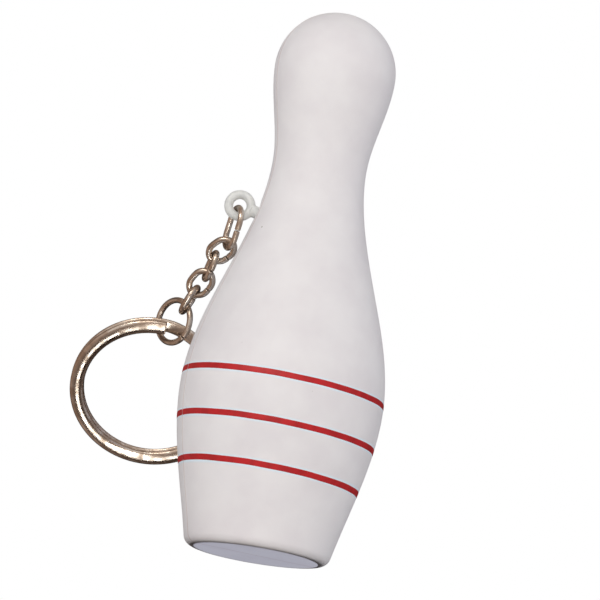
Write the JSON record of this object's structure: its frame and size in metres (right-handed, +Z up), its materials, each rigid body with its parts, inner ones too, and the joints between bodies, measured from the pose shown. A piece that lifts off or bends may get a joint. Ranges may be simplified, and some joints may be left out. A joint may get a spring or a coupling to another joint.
{
  "type": "bowling pin key chain",
  "caption": "Small moulded foam bowling pin with printed stripes, a nylon eyelet in its shoulder, a short wire chain, a jump ring and a split key ring.",
  "frame": {"origin": "middle of the pin's flat base", "axes": "+Z up along the pin's own axis towards its head; the eyelet and chain are on the -X side, and the split ring lies against the belly at -X and +Y"},
  "size_m": [0.0485, 0.0412, 0.0852],
  "materials": {
    "white_foam": "moulded self-skinning polyurethane foam, satin to matt, with a fine parting line",
    "stripe_ink": "red pad-printed ink lines, flush with the foam's skin",
    "nylon": "natural injection-moulded nylon, slightly translucent",
    "nickel_wire": "nickel-plated steel wire, bright, with a warm dark tone in the bends",
    "nickel_ring": "nickel-plated spring steel of flat section, bright"
  },
  "bodies": {
    "pin": {"foam_pin": "white_foam", "eyelet_anchor": "nylon"},
    "eyelet_link": {"eyelet_link": "nickel_wire"},
    "chain_link_1": {"chain_link_1": "nickel_wire"},
    "chain_link_2": {"chain_link_2": "nickel_wire"},
    "chain_link_3": {"chain_link_3": "nickel_wire"},
    "chain_link_4": {"chain_link_4": "nickel_wire"},
    "jump_ring": {"jump_ring": "nickel_wire"},
    "split_ring": {"split_ring": "nickel_ring"}
  },
  "joints": [
    {"name": "eyelet_link_swing", "type": "hinge", "parent": "pin", "child": "eyelet_link", "pos_m": [-0.01112, 0, 0.0513], "axis": [1, 0, 0], "range_deg": [0, 27]},
    {"name": "chain_link_1_swing", "type": "hinge", "parent": "eyelet_link", "child": "chain_link_1", "pos_m": [-0.01203, 0.00138, 0.0465], "axis": [-0.3308, 0.8886, 0.3178], "range_deg": [0, 40]},
    {"name": "chain_link_2_swing", "type": "hinge", "parent": "chain_link_1", "child": "chain_link_2", "pos_m": [-0.01427, 0.00363, 0.04481], "axis": [0.7562, 0.3225, -0.5693], "range_deg": [0, 45]},
    {"name": "chain_link_3_swing", "type": "hinge", "parent": "chain_link_2", "child": "chain_link_3", "pos_m": [-0.01466, 0.00564, 0.04192], "axis": [-0.1062, 0.8099, 0.5769], "range_deg": [0, 45]},
    {"name": "chain_link_4_swing", "type": "hinge", "parent": "chain_link_3", "child": "chain_link_4", "pos_m": [-0.01622, 0.00754, 0.03959], "axis": [0.8596, 0.0881, -0.5034], "range_deg": [0, 60]},
    {"name": "jump_ring_swing", "type": "hinge", "parent": "chain_link_4", "child": "jump_ring", "pos_m": [-0.01726, 0.00915, 0.03679], "axis": [0.3172, 0.8695, 0.3786], "range_deg": [0, 22]},
    {"name": "split_ring_swing", "type": "hinge", "parent": "jump_ring", "child": "split_ring", "pos_m": [-0.01995, 0.01199, 0.03285], "axis": [-0.533, 0.4688, 0.7043], "range_deg": [0, 60]}
  ]
}
